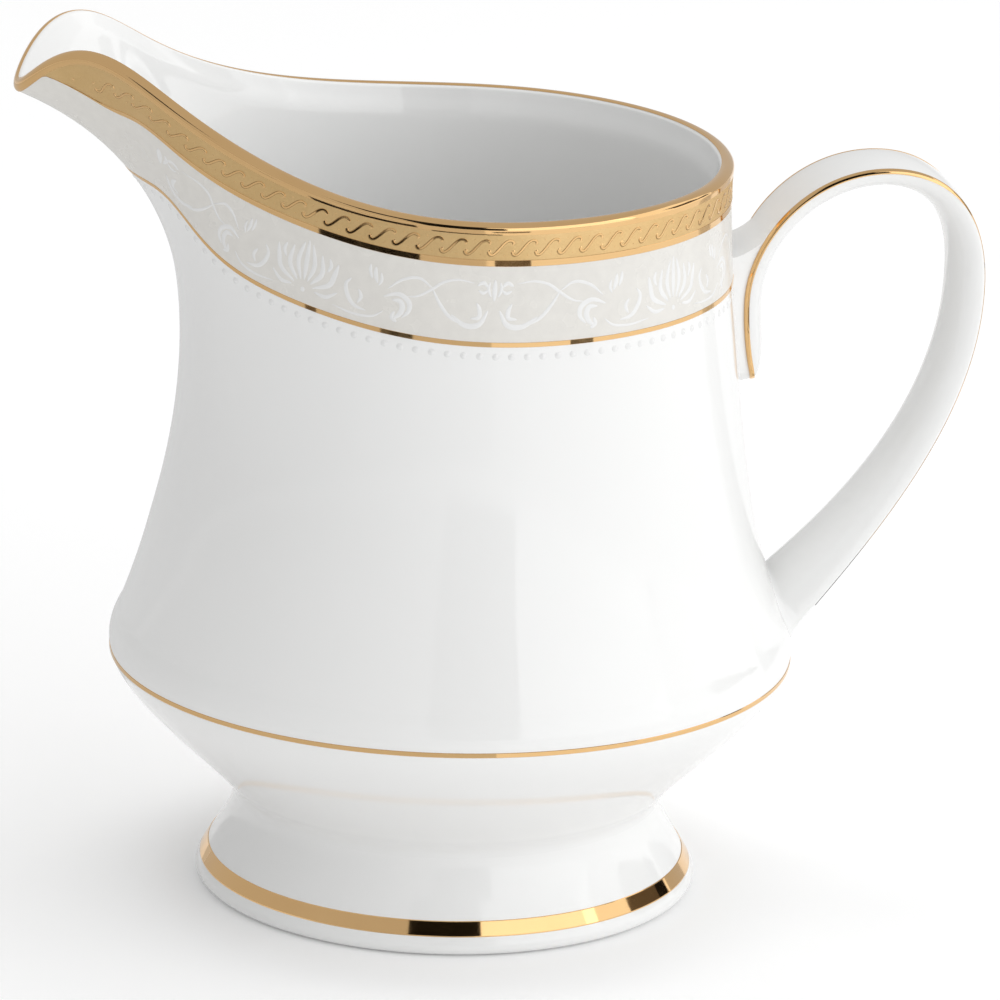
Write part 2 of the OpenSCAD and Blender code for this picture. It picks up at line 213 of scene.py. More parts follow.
# How the levels change near the spout, and over what angles
LIP_THINNING, LIP_THINNING_ANGLE = 0.55, 14
GOLD_GROWTH, GOLD_GROWTH_ANGLE = 6.4, 30
FRIEZE_GROWTH, FRIEZE_GROWTH_ANGLE = 9.8, 32
FRIEZE_RISE, FRIEZE_RISE_ANGLE = 7, 12


def band_share(u):
    return 1 - np.exp(-((np.maximum(np.abs(u) - BAND_END, 0) / BAND_FADE) ** BAND_FADE_POWER))


def lip_level(u):
    return LIP_GILDING_W * (1 - LIP_THINNING * bell(u, LIP_THINNING_ANGLE))


def rim_line_level(u):
    gold = GOLD_W + GOLD_GROWTH * bell(u, GOLD_GROWTH_ANGLE) - LIP_GILDING_W
    return lip_level(u) + 2 * LEAST_W + gold * band_share(u)


def etched_level(u):
    return rim_line_level(u) - LEAST_W - RIM_LINE_W * band_share(u)


def frieze_level(u):
    return (GOLD_W + FRIEZE_W + FRIEZE_GROWTH * bell(u, FRIEZE_GROWTH_ANGLE)
            - FRIEZE_RISE * bell(u, FRIEZE_RISE_ANGLE))


def thin_line_level(u):
    return frieze_level(u) + THIN_LINE_W


# ---- Meshes ----
def mesh_piece(name, points, faces, material, slot, replaces=(), sharp=None):
    """A smooth piece of the jug, with crisp edges where faces meet steeper than sharp."""
    me = bpy.data.meshes.new(name)
    me.from_pydata((np.asarray(points, float) * MM).tolist(), [], [tuple(f) for f in faces])
    me.validate(verbose=False)
    me.polygons.foreach_set("use_smooth", [True] * len(me.polygons))
    if sharp is not None:
        me.set_sharp_from_angle(angle=math.radians(sharp))
    me.materials.append(material)
    me.update()
    ob = bpy.data.objects.new(name, me)
    bpy.context.scene.collection.objects.link(ob)
    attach(ob, "root")
    if replaces:
        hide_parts(*replaces)
    return ob


def face_outwards(ob):
    bm = bmesh.new()
    bm.from_mesh(ob.data)
    bmesh.ops.recalc_face_normals(bm, faces=bm.faces)
    bm.to_mesh(ob.data)
    bm.free()


def grid_quads(rows, cols, wrap, start=0, flip=False):
    out = []
    for i in range(rows - 1):
        for j in range(cols if wrap else cols - 1):
            a = start + i * cols + j
            b = start + i * cols + (j + 1) % cols
            q = (a, b, b + cols, a + cols)
            out.append(q[::-1] if flip else q)
    return out


def shell(back, front, closed):
    """Closed solid between two grids of points (rows, columns, 3) that match."""
    rows, cols = back.shape[:2]
    lift = rows * cols
    faces = grid_quads(rows, cols, closed, 0, True) + grid_quads(rows, cols, closed, lift)
    last = (rows - 1) * cols
    for j in range(cols if closed else cols - 1):
        k = (j + 1) % cols
        faces.append((j, k, k + lift, j + lift))
        faces.append((last + k, last + j, last + j + lift, last + k + lift))
    if not closed:
        for i in range(rows - 1):
            a, b = i * cols, (i + 1) * cols
            faces.append((b, a, a + lift, b + lift))
            c, d = a + cols - 1, b + cols - 1
            faces.append((c, d, d + lift, c + lift))
    # On the wall the rows run downwards and the columns clockwise as seen from above,
    # so the front grid already faces outwards in this order
    return np.concatenate([back.reshape(-1, 3), front.reshape(-1, 3)]), faces


def spread_columns(count, power):
    """An even count of angles from -180 up to 180, closer together near the spout."""
    k = np.linspace(-1, 1, count + 1)[:-1]
    return 180 * np.sign(k) * np.abs(k) ** power


def turned(outline, us):
    """Points of a turned surface: rows follow the outline [(r, z)]."""
    outline = np.asarray(outline, float)
    return outline[:, None, :1] * heading(us)[None] + outline[:, None, 1:] * UP


# ---- Materials ----
# Nearly all of a noise's values lie between these
NOISE_RANGE = (0.3, 0.7)


class Nodes:
    """A short way to write a shader's node tree."""

    def __init__(self, name):
        self.mat = bpy.data.materials.new(name)
        self.mat.use_nodes = True
        self.tree = self.mat.node_tree
        self.bsdf = self.tree.nodes["Principled BSDF"]
        self.coord = self.tree.nodes.new("ShaderNodeTexCoord").outputs["Object"]

    def add(self, kind):
        return self.tree.nodes.new("ShaderNode" + kind)

    def link(self, a, b):
        self.tree.links.new(a, b)

    def noise(self, scale, detail=2.0, rough=0.5):
        n = self.add("TexNoise")
        n.inputs["Scale"].default_value = scale
        n.inputs["Detail"].default_value = detail
        n.inputs["Roughness"].default_value = rough
        self.link(self.coord, n.inputs["Vector"])
        return n.outputs["Fac"]

    def tint(self, fac, first, second):
        """A colour that follows a noise from the first colour to the second."""
        n = self.add("ValToRGB")
        for e, position, colour in zip(n.color_ramp.elements, NOISE_RANGE, (first, second)):
            e.position = position
            e.color = tuple(colour) + (1.0,)
        self.link(fac, n.inputs["Fac"])
        return n.outputs["Color"]

    def range(self, fac, low, high):
        """A number that follows a noise from low to high."""
        n = self.add("MapRange")
        n.inputs["From Min"].default_value, n.inputs["From Max"].default_value = NOISE_RANGE
        n.inputs["To Min"].default_value = low
        n.inputs["To Max"].default_value = high
        self.link(fac, n.inputs["Value"])
        return n.outputs["Result"]

    def bump(self, fac, distance, strength=1.0):
        n = self.add("Bump")
        n.inputs["Distance"].default_value = distance
        n.inputs["Strength"].default_value = strength
        self.link(fac, n.inputs["Height"])
        return n.outputs["Normal"]

    def set(self, **values):
        """Sets the shader's sockets, each to a constant or to a node's output."""
        for key, value in values.items():
            socket = self.bsdf.inputs[key.replace("_", " ")]
            if hasattr(value, "links"):
                self.link(value, socket)
            else:
                socket.default_value = value


def porcelain_material():
    m = Nodes("glazed_porcelain")
    cloud = m.noise(28.0, 3.0)
    colour = m.tint(cloud, (0.812, 0.812, 0.804), (0.828, 0.829, 0.822))
    wave = m.noise(95.0, 2.0)
    m.set(Base_Color=colour, Metallic=0.0, IOR=1.5,
          Roughness=m.range(m.noise(60.0), 0.05, 0.09),
          Normal=m.bump(wave, 0.00002))
    return m.mat


def gold_material(name, light, dark, rough):
    m = Nodes(name)
    tone = m.noise(140.0, 3.0)
    m.set(Base_Color=m.tint(tone, dark, light), Metallic=1.0,
          Roughness=m.range(m.noise(420.0, 3.0), rough * 0.75, rough * 1.25),
          Normal=m.bump(m.noise(260.0, 2.0), 0.00001))
    return m.mat


def etched_material():
    m = Nodes("etched_matt_gold")
    grain = m.noise(5200.0, 2.0, 0.6)
    tone = m.noise(160.0, 3.0)
    m.set(Base_Color=m.tint(tone, (0.735, 0.51, 0.24), (0.785, 0.555, 0.275)), Metallic=1.0,
          Roughness=m.range(grain, 0.42, 0.55),
          Normal=m.bump(grain, 0.00004, 0.8))
    return m.mat


def pearl_material():
    m = Nodes("pearl_enamel")
    tone = m.noise(700.0, 4.0)
    m.set(Base_Color=m.tint(tone, (0.69, 0.672, 0.635), (0.725, 0.707, 0.668)),
          Metallic=0.0, IOR=1.5,
          Roughness=m.range(m.noise(300.0, 3.0), 0.2, 0.3),
          Normal=m.bump(m.noise(900.0, 2.0), 0.00001))
    return m.mat


def relief_material():
    m = Nodes("raised_white_enamel")
    tone = m.noise(400.0, 3.0)
    m.set(Base_Color=m.tint(tone, (0.755, 0.755, 0.75), (0.78, 0.78, 0.775)),
          Metallic=0.0, IOR=1.5, Roughness=m.range(m.noise(500.0), 0.12, 0.2))
    return m.mat


PORCELAIN = porcelain_material()
POLISHED = gold_material("polished_fired_gold", (0.83, 0.54, 0.255), (0.80, 0.51, 0.235), 0.06)
ETCHED = etched_material()
# Dark gold for the painted shadow beside each etched scroll
PAINTED_SHADOW = gold_material("painted_scroll_shadow_gold", (0.43, 0.28, 0.125), (0.39, 0.25, 0.11), 0.4)
PEARL = pearl_material()
RELIEF = relief_material()

# ---- Bowl ----
LINE_HALF = THIN_LINE_W / 2
SHOULDER = (BELLY_R - 1, BELLY_Z + 4.5)
WAIST_END = (28.6, FOOT_H + 2.6)
# The turned outline of the lower wall: waist, underside, shoulder and flare
LOWER_OUTLINE = np.concatenate([
    curve((FOOT_NECK_R, FOOT_H), (FOOT_NECK_R + 0.05, FOOT_H + 1.1),
          (FOOT_NECK_R + 0.6, FOOT_H + 1.7), WAIST_END, np.linspace(0, 1, 10)[:-1]),
    curve(WAIST_END, (WAIST_END[0] + 2.7, WAIST_END[1] + 3.3), (BELLY_R - 1.8, 25.2),
          (BELLY_R, BELLY_Z - LINE_HALF), np.linspace(0, 1, 28)),
    curve((BELLY_R, BELLY_Z + LINE_HALF), (BELLY_R + 0.3, BELLY_Z + 1.6),
          (BELLY_R - 0.1, BELLY_Z + 3.1), SHOULDER, np.linspace(0, 1, 10)),
    curve(SHOULDER, (SHOULDER[0] - 1, SHOULDER[1] + 2.5), (NECK_R + 0.97, NECK_Z - 3.9),
          (NECK_R, NECK_Z), np.linspace(0, 1, 16)[1:-1]),
])


def outline_normals(outline):
    run = np.gradient(np.asarray(outline, float), axis=0)
    return unit(np.stack([run[:, 1], -run[:, 0]], -1))


def roll_rows(us, angles, proud=0.0):
    """Rows of points round the lip, from its outer corner (0) to its inner one (180)."""
    edge, n = wall(us, EDGE_LEVEL)
    rise = unit(edge - wall(us, lip_level(us))[0])
    rows = []
    for a in angles:
        rows.append(edge - LIP_T * (1 - cos(a)) / 2 * n + LIP_CROWN * sin(a) * rise
                    + proud * (cos(a) * n + sin(a) * rise))
    return np.array(rows)


# The wall thins from its full thickness to the lip's over this distance
LIP_TAPER = 3.4


def build_bowl():
    us = spread_columns(300, 1.3)
    shares = np.linspace(1, 0, 64)
    levels = EDGE_LEVEL + (wall_length(us) - EDGE_LEVEL)[None] * shares[:, None]
    upper_out, n = wall(us[None], levels)
    roll = roll_rows(us, np.linspace(0, 180, 13)[1:-1])
    depth = np.clip((levels - EDGE_LEVEL) / LIP_TAPER, 0, 1)
    thick = LIP_T + (WALL_T - LIP_T) * smooth_step(depth)
    upper_in = (upper_out - thick[..., None] * n)[::-1]
    inner_outline = LOWER_OUTLINE - WALL_T * outline_normals(LOWER_OUTLINE)
    # Below this point of the outline, the inside is a gently dished floor
    floor_start = 15
    floor_z = FOOT_H + FLOOR_T
    start = inner_outline[floor_start]
    floor = curve(start, start + (-2.6, -1.9), (19.0, floor_z), (0.4, floor_z),
                  np.linspace(0, 1, 20)[1:])
    stack = np.concatenate([turned(LOWER_OUTLINE, us), upper_out, roll, upper_in,
                            turned(inner_outline[floor_start:], us)[::-1], turned(floor, us)])
    cols = len(us)
    points = np.concatenate([stack.reshape(-1, 3), [[0, 0, FOOT_H], [0, 0, floor_z]]])
    total = len(stack) * cols
    faces = grid_quads(len(stack), cols, True, 0, True)
    faces += [(total, j, (j + 1) % cols) for j in range(cols)]
    faces += [(total + 1, total - cols + (j + 1) % cols, total - cols + j) for j in range(cols)]
    mesh_piece("porcelain_bowl", points, faces, PORCELAIN, "porcelain", ["bowl"], sharp=60)


build_bowl()

# ---- Foot ----
# The gold band lies on the flat stretch of the foot's outline between these two points
BAND_LOW, BAND_HIGH = np.array([31.16, 2.6]), np.array([30.08, 4.35])


def build_foot():
    rim = curve((FOOT_RING_R, 0), (FOOT_R - 0.3, 0), (FOOT_R + 0.3, 1.2), BAND_LOW,
                np.linspace(0, 1, 14))
    flare = curve(BAND_HIGH, (28.4, 7), (FOOT_NECK_R, 9), (FOOT_NECK_R, FOOT_H),
                  np.linspace(0, 1, 26))
    hollow = curve((FOOT_NECK_R - 3.4, FOOT_H), (FOOT_NECK_R - 3.4, 8), (25.4, 3),
                   (FOOT_RING_R - 1.8, 0), np.linspace(0, 1, 16))
    outline = np.concatenate([rim, flare, hollow])
    us = np.linspace(-180, 180, 241)[:-1]
    count, cols = len(outline), len(us)
    faces = []
    for i in range(count):
        row, above = i * cols, (i + 1) % count * cols
        for j in range(cols):
            k = (j + 1) % cols
            faces.append((row + j, above + j, above + k, row + k))
    points = turned(outline, us).reshape(-1, 3)
    mesh_piece("porcelain_foot", points, faces, PORCELAIN, "porcelain", ["foot"], sharp=50)


build_foot()

# ---- Handle ----
# The strap's outer face follows four curves in the plane Y = 0. Places along them run
# from 0, at the tip of the upper root, to 4, at the lower root.
STRAP_PATH = [
    [(36.9, 65.5), (35.8, 69), (35.4, 72.5), (35.4, 76)],
    [(35.4, 76), (35.4, 84.5), (43, 93.2), (53, 93.2)],
    [(53, 93.2), (61.5, 93.2), (66, 87), (66, 78)],
    [(66, 78), (66, 61), (54, 46), (43.4, 34)],
]
TIP_END = 0.22
ROOT_END = 1.25
# Over this stretch of the path the upper root runs out in a hollow fillet
WEB = 0.11
# The strap's own rings end here, and the lower root's carry on to the bowl
STRAP_END = 3.93
CORNER = 0.45
ACROSS = np.linspace(-1, 1, 25)
SIDEWAYS = np.array([0.0, 1.0, 0.0])


def wall_profile():
    """(heights, radii) of the bowl's outer face on the handle side."""
    high = upper(np.full(200, 180.0), np.linspace(0, 1, 200))
    outline = np.concatenate([LOWER_OUTLINE, high[:, [0, 2]]])
    return outline[:, 1], outline[:, 0]


PROFILE_Z, PROFILE_R = wall_profile()


def meet(p, direction, sink, near, far):
    """Moves points along a direction, by near to far millimetres, until they lie sink
    millimetres below the bowl's face."""
    direction = np.broadcast_to(np.asarray(direction, float), p.shape)
    near = np.full(len(p), float(near))
    far = np.full(len(p), float(far))
    halvings = 24
    for _ in range(halvings):
        mid = (near + far) / 2
        q = p + mid[:, None] * direction
        face = np.interp(q[:, 2], PROFILE_Z, PROFILE_R)
        out = np.hypot(q[:, 0], q[:, 1]) - face + sink > 0
        near, far = np.where(out, mid, near), np.where(out, far, mid)
    return p + near[:, None] * direction


def path_point(s):
    n = min(int(s), 3)
    p = curve(*STRAP_PATH[n], s - n)
    return np.array([p[0], 0, p[1]])


def path_frame(s):
    """(point, direction, direction into the strap) at s along the path."""
    d = unit(path_point(min(s + 0.002, 3.9999)) - path_point(max(s - 0.002, 0)))
    return path_point(s), d, np.array([d[2], 0, -d[0]])


def share_past(s, start, end):
    """0 up to start, then rising evenly to 1 at end, whichever way that lies."""
    return max((s - start) / (end - start), 0)


def tip_round(s):
    """0 at the tip of the upper root, rising as a quarter circle to 1."""
    return math.sqrt(1 - share_past(s, TIP_END, 0) ** 2)


def strap_half(s):
    """Half the strap's width: narrower in the upper root, wider in the lower one."""
    upper_taper, tip_taper, lower_spread = 0.9, 2.2, 1.4
    return (STRAP_W / 2 + lower_spread * share_past(s, 3.4, 4) ** 2
            - upper_taper * share_past(s, 0.7, 0) ** 2 - tip_taper * (1 - tip_round(s)))


def strap_depth(s):
    """Thickness of the strap: thinner in the upper root, thicker down its back."""
    upper_taper, tip_share, lower_spread = 1.7, 0.3, 2.6
    if s < 2:
        rounding = tip_share + (1 - tip_share) * tip_round(s)
        return (STRAP_T - upper_taper * share_past(s, 0.6, 0) ** 2) * rounding
    back = STRAP_T + (STRAP_BACK_T - STRAP_T) * min(s - 2, 1)
    return back + lower_spread * share_past(s, 3.3, 4) ** 2


def strap_ring(s):
    """One ring of the strap: inner side, corner, outer side, corner."""
    p, _, inward = path_frame(s)
    half, depth = strap_half(s), strap_depth(s)
    # The inner side bows from the edges' thickness to the full one
    edge = min(0.42 * depth, 1.2)
    bow = edge + (depth - edge) * np.sqrt(np.maximum(0, 1 - np.abs(ACROSS) ** 2.4))
    inner = p + half * ACROSS[:, None] * SIDEWAYS + bow[:, None] * inward
    turn = np.linspace(0, 90, 6)
    side = (p + (half - CORNER * (1 - cos(turn)))[:, None] * SIDEWAYS
            + (CORNER * (1 - sin(turn)))[:, None] * inward)
    other = side * (1, -1, 1)
    # The outer side has a slight crown, and stops just short of the rounded corners
    crown = 0.25 * (1 - ACROSS ** 2)
    reach = 0.98 * (half - CORNER)
    face = p + reach * ACROSS[:, None] * SIDEWAYS - crown[:, None] * inward
    if s < ROOT_END + WEB:
        # In the upper root it lies in the bowl's wall, and leaves it as a quarter circle
        flat = p + (half + 0.5) * ACROSS[:, None] * SIDEWAYS
        share = 1 - math.sqrt(1 - (1 - max(s - ROOT_END, 0) / WEB) ** 2)
        face = face + share * (meet(flat, (-1, 0, 0), 0.25, -3, 12) - face)
    return np.concatenate([inner, side, face[::-1], other[::-1]])


def strap_places():
    """Places of the strap's rings, closest together at the tip and in the fillet."""
    web_end = ROOT_END + WEB
    return np.concatenate([
        stretch(0, TIP_END, 13, 2), stretch(TIP_END, 1, 25), stretch(1, ROOT_END, 9),
        stretch(ROOT_END, web_end, 13, 2), stretch(web_end, 2, 29), stretch(2, 3, 39),
        np.linspace(3, STRAP_END, 76)])


def build_handle():
    rings = [strap_ring(s) for s in strap_places()]
    # The lower root's rings run on along the path to the bowl, and flare out into it
    base = rings[-1]
    d = path_frame(STRAP_END)[1]
    run = meet(base, d, 0.15, 0, 20) - base
    flare, flare_power, fullness = 1.1, 3.2, 0.999
    for f in (0.3, 0.55, 0.75, 0.88, 0.96, 1.0):
        ring = base + f * run
        spread = unit(ring - ring.mean(0))
        rings.append(ring + spread * flare * (1 - math.sqrt(1 - fullness * f ** flare_power)))
    rings[-1] = meet(rings[-1] - 3 * d, d, 0.2, 0, 20)
    rings = np.array(rings)
    rows, cols = rings.shape[:2]
    last = (rows - 1) * cols
    faces = grid_quads(rows, cols, True)
    faces += [tuple(range(cols)), tuple(range(last + cols - 1, last - 1, -1))]
    face_outwards(mesh_piece("porcelain_handle", rings.reshape(-1, 3), faces, PORCELAIN,
                             "porcelain", ["handle"], sharp=50))


build_handle()

# ---- Gold and enamel of the rim ----
RIM_US = spread_columns(480, 1.35)
OPEN_US = np.concatenate([[-ROOT_ANGLE], RIM_US[np.abs(RIM_US) < ROOT_ANGLE - 0.2], [ROOT_ANGLE]])
# Edges steeper than this stay crisp, so that a band's flat face mirrors as one
BAND_SHARP = 15


def layer_lifts(rows, lift):
    """How far each row stands proud: the first and last only a little, as a soft edge."""
    lifts = np.full(rows, float(lift))
    lifts[[0, -1]] *= 0.3
    return lifts


def band(name, us, levels, rows, lift, finish, node):
    """A fired layer between two levels of the wall. It is closed if its columns run all
    round."""
    (top, bottom), (material, slot) = levels, finish
    shares = np.concatenate([[0], np.linspace(0.05, 0.95, rows - 2), [1]])
    p, n = wall(us[None], top(us)[None] + (bottom(us) - top(us))[None] * shares[:, None])
    front = p + layer_lifts(rows, lift)[:, None, None] * n
    points, faces = shell(p - LAYER_SINK * n, front, us is RIM_US)
    mesh_piece(name, points, faces, material, slot, [node], sharp=BAND_SHARP)


def build_lip():
    def rows(proud):
        p, n = wall(RIM_US, lip_level(RIM_US))
        roll = roll_rows(RIM_US, np.linspace(0, 135, 13), proud)
        return np.concatenate([[p + proud * n], roll])[::-1]

    points, faces = shell(rows(-LAYER_SINK), rows(GOLD_T), True)
    mesh_piece("gilded_lip", points, faces, POLISHED, "polished_gold", ["lip_gilding"], sharp=30)


GOLD_FINISH = (POLISHED, "polished_gold")
build_lip()
band("etched_ground", RIM_US, (lip_level, etched_level), 6, GROUND_T,
     (ETCHED, "etched_gold"), "etched_gold_band")
band("polished_rim_line", RIM_US, (etched_level, rim_line_level), 6, LINE_T,
     GOLD_FINISH, "rim_gold_line")
band("frieze_ground", OPEN_US, (rim_line_level, frieze_level), 12, GROUND_T,
     (PEARL, "pearl_enamel"), "pearl_frieze")
band("frieze_line", OPEN_US, (frieze_level, thin_line_level), 6, LINE_T,
     GOLD_FINISH, "frieze_gold_line")


# ---- Raised strokes, for the etched scrolls and the frieze's leaves ----
def smooth_path(knots, count):
    """Points of a smooth curve through the knots."""
    k = np.asarray(knots, float)
    k = np.concatenate([[2 * k[0] - k[1]], k, [2 * k[-1] - k[-2]]])
    t = np.linspace(0, len(k) - 3, count)
    i = np.minimum(t.astype(int), len(k) - 4)
    f = (t - i)[:, None]
    a, b, c, d = k[i], k[i + 1], k[i + 2], k[i + 3]
    return 0.5 * (2 * b + (c - a) * f + (2 * a - 5 * b + 4 * c - d) * f ** 2
                  + (3 * b - a - 3 * c + d) * f ** 3)


# Raised work keeps between these angles, clear of the spout's tip and the handle's root
RELIEF_FROM, RELIEF_TO = 11, ROOT_ANGLE - 1.5


def has_room(u):
    return np.abs(u).min() >= RELIEF_FROM and np.abs(u).max() <= RELIEF_TO


class Relief:
    """Collects raised strokes and dots laid on the wall, given in a flat pattern's own
    coordinates. place(xy) turns those into (angle from the spout, distance below the lip)."""

    # Sections across a stroke, as (share of half its width, share of its height)
    ROUND = ((-1, 0), (-0.72, 0.75), (0, 1), (0.72, 0.75), (1, 0))
    FLAT = ((-1, 0), (-0.8, 1), (0, 1), (0.8, 1), (1, 0))
    SINK = 0.04

    def __init__(self, base, section, sharp):
        self.base, self.sharp = base, sharp
        self.across, self.rise = np.array(section).T
        self.points, self.faces, self.count = [], [], 0

    def add(self, points, faces):
        self.points.append(points)
        self.faces += [tuple(self.count + k for k in f) for f in faces]
        self.count += len(points)

    def stroke(self, knots, width, height, place, count, taper=0.2):
        """taper is the share of the width that is left at the stroke's ends."""
        xy = smooth_path(knots, count)
        run = unit(np.gradient(xy, axis=0))
        t = np.linspace(0, 1, count)
        w = width / 2 * (taper + (1 - taper) * np.sin(math.pi * t) ** 0.7)
        side = np.stack([-run[:, 1], run[:, 0]], -1)
        flat = xy[None] + self.across[:, None, None] * (w[:, None] * side)[None]
        u, s = place(flat)
        if has_room(u):
            p, n = wall(u, s)
            front = p + (self.base + height * self.rise)[:, None, None] * n
            self.add(*shell(p - self.SINK * n, front, False))

    def dot(self, centre, radius, height, place, sides=10):
        """A low dome: a ring on the ground, a ring on its shoulder and a crown."""
        a = np.arange(sides) * 360 / sides
        ring = radius * np.stack([cos(a), sin(a)], -1)
        u, s = place(centre + np.concatenate([ring, 0.6 * ring, [[0, 0]]]))
        if not has_room(u):
            return
        p, n = wall(u, s)
        lift = self.base + height * np.concatenate([np.zeros(sides), np.full(sides, 0.75), [1]])
        under = p[:sides] - self.SINK * n[:sides]
        points = np.concatenate([under, p + lift[:, None] * n])
        crown = 3 * sides
        faces = grid_quads(3, sides, True)
        faces += [(2 * sides + j, 2 * sides + (j + 1) % sides, crown) for j in range(sides)]
        faces.append(tuple(range(sides - 1, -1, -1)))
        self.add(points, faces)

    def build(self, name, material, slot):
        points = np.concatenate(self.points)
        face_outwards(mesh_piece(name, points, self.faces, material, slot, sharp=self.sharp))


def walk(us, level):
    """(points along a level of the wall, distance walked from the first of them)"""
    p, _ = wall(us, level(us))
    return p, np.concatenate([[0], np.cumsum(np.linalg.norm(np.diff(p, axis=0), axis=1))])


class Track:
    """A level of the wall as a flat strip: x runs along it from the angle zero, and y is
    measured square to it, whichever way the wall's columns lean there."""

    def __init__(self, level, low, high, zero):
        self.u = np.linspace(low, high, 3001)
        self.level = level
        p, run = walk(self.u, level)
        self.run = run - np.interp(zero, self.u, run)
        along = unit(np.gradient(p, axis=0))
        ds = 0.3
        above, below = (wall(self.u, level(self.u) + step)[0] for step in (-ds, ds))
        down = (below - above) / (2 * ds)
        self.slide = (along * down).sum(1)
        self.square = np.sqrt(np.maximum((down * down).sum(1) - self.slide ** 2, 0.05))

    def angle(self, x):
        return np.interp(x, self.run, self.u)

    def place(self, x, y):
        """(angle, distance below the lip) of a point y above the level."""
        u = self.angle(x)
        slide = np.interp(u, self.u, self.slide)
        square = np.interp(u, self.u, self.square)
        at = self.angle(x + y * slide / square)
        return at, self.level(at) - y / square


# A running scroll: an S with a ball at each end, and a dot above and below it
SCROLL_PITCH, SCROLL_W = 2.9, 0.27
SCROLL = [(-1.6, -0.5), (-1.42, -0.86), (-1.05, -0.93), (-0.62, -0.6), (-0.15, -0.02), (0.32, 0.55),
          (0.8, 0.9), (1.28, 0.86), (1.55, 0.55)]
# Each ball or dot is (centre, radius, height, sides)
SCROLL_DOTS = [((-1.42, -0.5), 0.2, 0.06, 10), ((1.38, 0.5), 0.17, 0.06, 10),
               ((-0.4, 0.92), 0.08, 0.04, 6), ((0.35, -0.98), 0.08, 0.04, 6)]
# A painted shadow: a wider, darker stroke a little left of each scroll and below it, standing in
# for the shade that the raised scroll casts on the etched ground
PAINTED_SHADOW_LEFT, PAINTED_SHADOW_DOWN, PAINTED_SHADOW_W = 0.07, 0.06, 0.41


def build_scrolls():
    def middle(u):
        return (lip_level(u) + etched_level(u)) / 2

    track = Track(middle, -180, 180, 180)
    whole = track.run[-1] - track.run[0]
    count = int(whole // SCROLL_PITCH)
    relief = Relief(base=0.02, section=Relief.FLAT, sharp=30)
    # The second relief is painted shadow: a low, dark stroke beside each scroll
    painted_shadow = Relief(base=0.025, section=Relief.FLAT, sharp=30)
    edge = [(x - PAINTED_SHADOW_LEFT, y - PAINTED_SHADOW_DOWN) for x, y in SCROLL]
    for i in range(count):
        x0 = track.run[0] + (i + 0.5) * whole / count

        def place(xy):
            # Seen from outside, the angle falls from left to right
            return track.place(x0 - xy[..., 0], xy[..., 1])

        relief.stroke(SCROLL, SCROLL_W, 0.05, place, count=26, taper=0.75)
        painted_shadow.stroke(edge, PAINTED_SHADOW_W, 0.012, place, count=26, taper=0.75)
        for centre, radius, height, sides in SCROLL_DOTS:
            relief.dot(centre, radius, height, place, sides)
    relief.build("etched_scrolls", POLISHED, "polished_gold")
    painted_shadow.build("painted_scroll_shadow", PAINTED_SHADOW, "etched_gold")


build_scrolls()

# The frieze's pattern, in millimetres from a middle flower (x = 0) to a palmette
# (x = 26), above the thin gold line. Each entry is (knots, width); the pattern is
# mirrored at both ends and so repeats every 52 mm.
REPEAT = 26.0
MIDDLE_STROKES = [
    ([(0.0, 7.9), (0.0, 6.6), (0.0, 5.2)], 0.75),
    ([(0.7, 7.6), (0.85, 6.7), (0.45, 5.7)], 0.5),
    ([(0.9, 6.9), (1.6, 7.5), (2.4, 7.1)], 0.6),
    ([(0.9, 6.6), (1.5, 6.2), (2.2, 6.5)], 0.5),
    ([(5.6, 3.2), (3.7, 2.0), (1.8, 2.2), (0.75, 4.0)], 0.85),
    ([(3.0, 2.9), (1.9, 3.1), (1.9, 4.1), (2.3, 4.9)], 0.7),
    ([(8.5, 6.3), (7.3, 4.5), (5.9, 3.0), (4.2, 2.1)], 0.55),
]
SIDE_STROKES = [
    ([(2.8, 7.4), (5.0, 7.7), (7.0, 7.2), (8.5, 6.1), (10.2, 5.0), (11.6, 4.7)], 0.45),
    ([(8.5, 6.3), (10.4, 7.3), (12.6, 6.7), (14.4, 5.2)], 0.48),
    ([(14.8, 4.1), (12.9, 4.8), (11.4, 4.1), (11.2, 2.9), (12.0, 1.9)], 0.8),
    ([(13.6, 3.9), (12.5, 3.9), (12.1, 3.1), (12.4, 2.2), (13.2, 1.5)], 0.9),
    ([(13.1, 2.5), (13.3, 1.7), (12.6, 1.2)], 0.7),
    ([(16.4, 7.6), (16.3, 6.6), (15.9, 5.6)], 0.7),
    ([(17.2, 7.8), (17.1, 6.9), (16.7, 6.0)], 0.55),
    ([(15.6, 7.0), (15.4, 6.1), (15.7, 5.3)], 0.5),
    ([(16.9, 1.7), (18.6, 2.0), (19.7, 3.1), (20.1, 4.4), (19.5, 5.3)], 0.7),
    ([(18.2, 2.4), (17.8, 3.3), (18.3, 4.2)], 0.6),
    ([(14.6, 2.2), (16.0, 1.2), (18.5, 0.9), (21.5, 1.2)], 0.4),
]
PALMETTE_STROKES = [
    ([(26.0, 3.0), (26.0, 5.4), (26.0, 8.2)], 0.8),
    ([(25.5, 2.9), (24.8, 5.2), (25.4, 7.8)], 0.75),
    ([(25.0, 2.7), (23.6, 4.5), (23.9, 6.9)], 0.8),
    ([(24.6, 2.3), (22.4, 3.4), (21.8, 5.0), (21.5, 6.4)], 0.85),
    ([(22.9, 5.0), (22.5, 5.9), (22.8, 6.8)], 0.6),
    ([(24.3, 1.9), (22.6, 1.8), (21.1, 2.8)], 0.6),
]
# A middle flower lies at this angle from the spout on each side, and the pattern is
# drawn together a little on the spout's side of it
FLOWER_ANGLE, SPOUT_SIDE = 87.4, 0.94
LEAF_RISE, BALL_RISE = 0.045, 0.05
# Leaves whose knots go beyond these angles are left out
LEAF_FROM, LEAF_TO = 12, ROOT_ANGLE - 2


